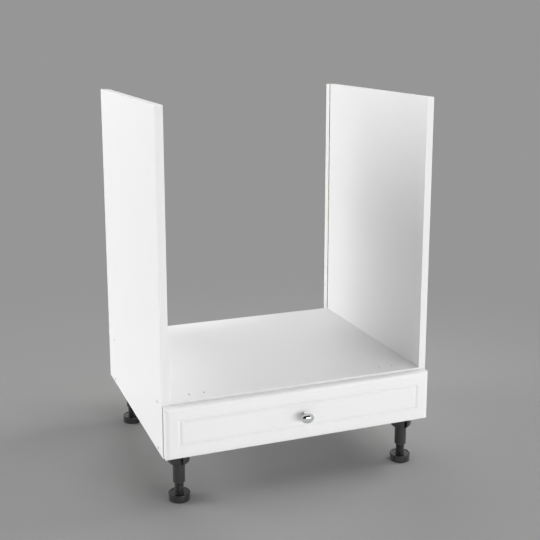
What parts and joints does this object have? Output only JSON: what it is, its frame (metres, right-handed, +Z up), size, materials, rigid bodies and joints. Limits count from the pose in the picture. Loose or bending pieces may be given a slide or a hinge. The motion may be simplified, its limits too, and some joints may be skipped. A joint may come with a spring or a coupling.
{
  "type": "oven base cabinet",
  "caption": "White kitchen base cabinet for a built-in oven: open niche between two side panels, a milled drawer front with an oval knob below, and adjustable black legs.",
  "frame": {"origin": "on the floor, midway in the cabinet's width and midway between the knob's face and the side panels' rear edges", "axes": "+Z up, +Y to the rear (the drawer pulls out towards -Y), +X to the right as seen from the front"},
  "size_m": [0.6, 0.558, 0.82],
  "materials": {
    "melamine": "white melamine-faced chipboard, fine pearl texture, satin",
    "edge_band": "white plastic edge band, satin",
    "foil_front": "white foil wrapped over milled fibreboard, silk matt",
    "white_sheet": "white-faced hardboard sheet",
    "beech": "fluted beech dowel",
    "zinc_steel": "bright zinc plate",
    "white_steel": "white epoxy coat",
    "chrome": "polished chrome",
    "leg_plastic": "black moulded plastic, satin",
    "roller_plastic": "white moulded nylon"
  },
  "bodies": {
    "carcass": {"side_panel_left": "melamine", "side_panel_right": "melamine", "oven_shelf": "melamine", "bottom_panel": "melamine", "back_strip": "white_sheet", "side_edge_bands": "edge_band", "shelf_edge_band": "edge_band", "bottom_edge_band": "edge_band", "joint_screws": "zinc_steel", "joint_dowels": "beech", "back_strip_screws": "zinc_steel", "leg_front_left": "leg_plastic", "leg_front_right": "leg_plastic", "leg_rear_left": "leg_plastic", "leg_rear_right": "leg_plastic", "leg_screws": "zinc_steel", "cabinet_rail_left": "white_steel", "cabinet_rail_right": "white_steel", "cabinet_rail_screws": "zinc_steel", "cabinet_roller_pins": "zinc_steel"},
    "drawer": {"drawer_front": "foil_front", "drawer_inner_front": "melamine", "drawer_side_left": "melamine", "drawer_side_right": "melamine", "drawer_back": "melamine", "drawer_bottom": "white_sheet", "drawer_box_screws": "zinc_steel", "front_fixing_screws": "zinc_steel", "drawer_rail_left": "white_steel", "drawer_rail_right": "white_steel", "drawer_rail_screws": "zinc_steel", "drawer_roller_pins": "zinc_steel", "knob": "chrome", "knob_screw": "zinc_steel"},
    "cabinet_roller_left": {"cabinet_roller_left": "roller_plastic"},
    "cabinet_roller_right": {"cabinet_roller_right": "roller_plastic"},
    "drawer_roller_left": {"drawer_roller_left": "roller_plastic"},
    "drawer_roller_right": {"drawer_roller_right": "roller_plastic"},
    "foot_front_left": {"foot_front_left": "leg_plastic"},
    "foot_front_right": {"foot_front_right": "leg_plastic"},
    "foot_rear_left": {"foot_rear_left": "leg_plastic"},
    "foot_rear_right": {"foot_rear_right": "leg_plastic"}
  },
  "joints": [
    {"name": "drawer_slide", "type": "slide", "parent": "carcass", "child": "drawer", "axis": [0, -1, 0], "range_m": [0, 0.34]},
    {"name": "cabinet_roller_left_spin", "type": "hinge", "parent": "carcass", "child": "cabinet_roller_left", "pos_m": [-0.284, -0.216, 0.1397], "axis": [1, 0, 0], "continuous": true},
    {"name": "cabinet_roller_right_spin", "type": "hinge", "parent": "carcass", "child": "cabinet_roller_right", "pos_m": [0.284, -0.216, 0.1397], "axis": [1, 0, 0], "continuous": true},
    {"name": "drawer_roller_left_spin", "type": "hinge", "parent": "drawer", "child": "drawer_roller_left", "pos_m": [-0.2715, 0.205, 0.1405], "axis": [1, 0, 0], "continuous": true},
    {"name": "drawer_roller_right_spin", "type": "hinge", "parent": "drawer", "child": "drawer_roller_right", "pos_m": [0.2715, 0.205, 0.1405], "axis": [1, 0, 0], "continuous": true},
    {"name": "foot_front_left_screw", "type": "slide", "parent": "carcass", "child": "foot_front_left", "axis": [0, 0, 1], "range_m": [-0.015, 0.014]},
    {"name": "foot_front_right_screw", "type": "slide", "parent": "carcass", "child": "foot_front_right", "axis": [0, 0, 1], "range_m": [-0.015, 0.014]},
    {"name": "foot_rear_left_screw", "type": "slide", "parent": "carcass", "child": "foot_rear_left", "axis": [0, 0, 1], "range_m": [-0.015, 0.014]},
    {"name": "foot_rear_right_screw", "type": "slide", "parent": "carcass", "child": "foot_rear_right", "axis": [0, 0, 1], "range_m": [-0.015, 0.014]}
  ],
  "couplings": [
    {"joint": "cabinet_roller_left_spin", "follows": "drawer_slide", "rad_per_m": 125},
    {"joint": "cabinet_roller_right_spin", "follows": "drawer_slide", "rad_per_m": 125},
    {"joint": "drawer_roller_left_spin", "follows": "drawer_slide", "rad_per_m": 111.11},
    {"joint": "drawer_roller_right_spin", "follows": "drawer_slide", "rad_per_m": 111.11}
  ]
}
